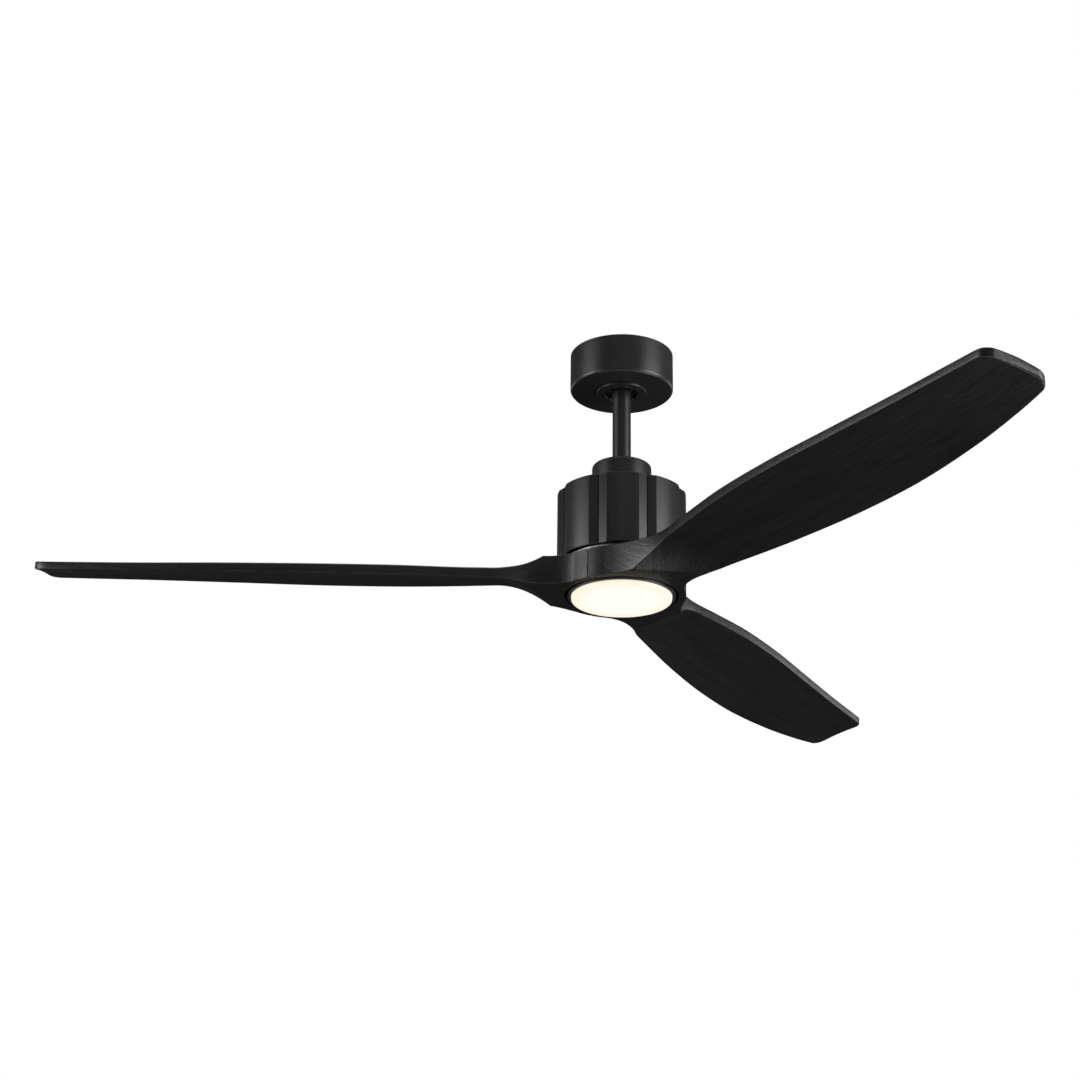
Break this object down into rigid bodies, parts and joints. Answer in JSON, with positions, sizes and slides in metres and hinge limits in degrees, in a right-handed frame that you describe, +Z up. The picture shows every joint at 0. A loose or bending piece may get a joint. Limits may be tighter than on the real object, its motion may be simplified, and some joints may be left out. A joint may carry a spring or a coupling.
{
  "type": "ceiling fan",
  "caption": "Ceiling fan with carved blades that meet in a hub around a flush round light, a fluted motor housing, a short down rod on a ball hanger and a drum canopy.",
  "frame": {"origin": "centre of the ceiling face, the top of the hanging bracket's plate", "axes": "+Z up into the ceiling, the first blade about along -X, the viewer of the picture at -Y"},
  "size_m": [1.3064, 1.4439, 0.3835],
  "materials": {
    "zinc_steel": "zinc-plated pressed steel, dull",
    "black_plastic": "moulded black plastic, fine texture",
    "black_metal": "satin black powder coat",
    "housing_black": "satin black enamel, brushed up the lobes",
    "nylon": "moulded nylon",
    "bright_steel": "plain steel, turned",
    "circuit_board": "green solder mask",
    "cable_sheath": "white PVC sheath",
    "orange_plastic": "moulded plastic",
    "lamination_steel": "stacked steel laminations",
    "copper_wire": "enamelled copper",
    "cast_aluminium": "die-cast, satin",
    "magnet": "nickel-plated magnet, dark",
    "carved_wood": "carved wood, satin black stain with fine grain",
    "led_board_white": "white solder mask",
    "bronze_trim": "satin black, lit warm by the lens",
    "opal_lens": "opal acrylic, lit from behind"
  },
  "bodies": {
    "ceiling": {"mounting_bracket": "zinc_steel", "receiver_unit": "black_plastic", "canopy": "black_metal", "canopy_cover": "black_metal", "canopy_screws": "black_metal"},
    "hanger": {"hanger_ball": "nylon", "ball_pin": "bright_steel", "ball_set_screw": "bright_steel", "downrod": "black_metal", "neck_cover": "black_metal", "motor_yoke": "zinc_steel", "clevis_pin": "bright_steel", "hairpin_clip": "bright_steel", "yoke_set_screws": "bright_steel", "motor_shaft": "bright_steel", "motor_housing": "housing_black", "housing_screws": "bright_steel", "driver_board": "circuit_board", "supply_cable": "cable_sheath", "wire_connectors": "orange_plastic", "stator_core": "lamination_steel", "stator_windings": "copper_wire", "upper_bearing_inner": "bright_steel", "lower_bearing_inner": "bright_steel", "light_pan": "cast_aluminium", "shaft_nut": "bright_steel", "led_board": "led_board_white", "light_screws": "bright_steel", "light_cable": "cable_sheath", "trim_ring": "bronze_trim"},
    "rotor": {"upper_bearing_outer": "bright_steel", "lower_bearing_outer": "bright_steel", "rotor_shell_upper": "cast_aluminium", "rotor_shell_lower": "cast_aluminium", "rotor_magnets": "magnet", "rotor_screws": "bright_steel", "blade_carrier": "zinc_steel", "carrier_screws": "bright_steel", "blade_1": "carved_wood", "blade_2": "carved_wood", "blade_3": "carved_wood", "blade_screws": "bright_steel"},
    "upper_balls": {"upper_bearing_balls": "bright_steel"},
    "lower_balls": {"lower_bearing_balls": "bright_steel"},
    "lens": {"lens": "opal_lens"}
  },
  "joints": [
    {"name": "rod_tilt", "type": "hinge", "parent": "ceiling", "child": "hanger", "pos_m": [0, 0, -0.036], "axis": [0, 1, 0], "range_deg": [-15, 15]},
    {"name": "rotor_spin", "type": "hinge", "parent": "hanger", "child": "rotor", "pos_m": [0, 0, -0.27], "axis": [0, 0, 1], "continuous": true},
    {"name": "upper_balls_spin", "type": "hinge", "parent": "hanger", "child": "upper_balls", "pos_m": [0, 0, -0.255], "axis": [0, 0, 1], "continuous": true},
    {"name": "lower_balls_spin", "type": "hinge", "parent": "hanger", "child": "lower_balls", "pos_m": [0, 0, -0.31], "axis": [0, 0, 1], "continuous": true},
    {"name": "lens_twist", "type": "hinge", "parent": "hanger", "child": "lens", "pos_m": [0, 0, -0.38], "axis": [0, 0, 1], "range_deg": [0, 15]}
  ],
  "couplings": [
    {"joint": "upper_balls_spin", "follows": "rotor_spin", "ratio": 0.6},
    {"joint": "lower_balls_spin", "follows": "rotor_spin", "ratio": 0.6}
  ]
}
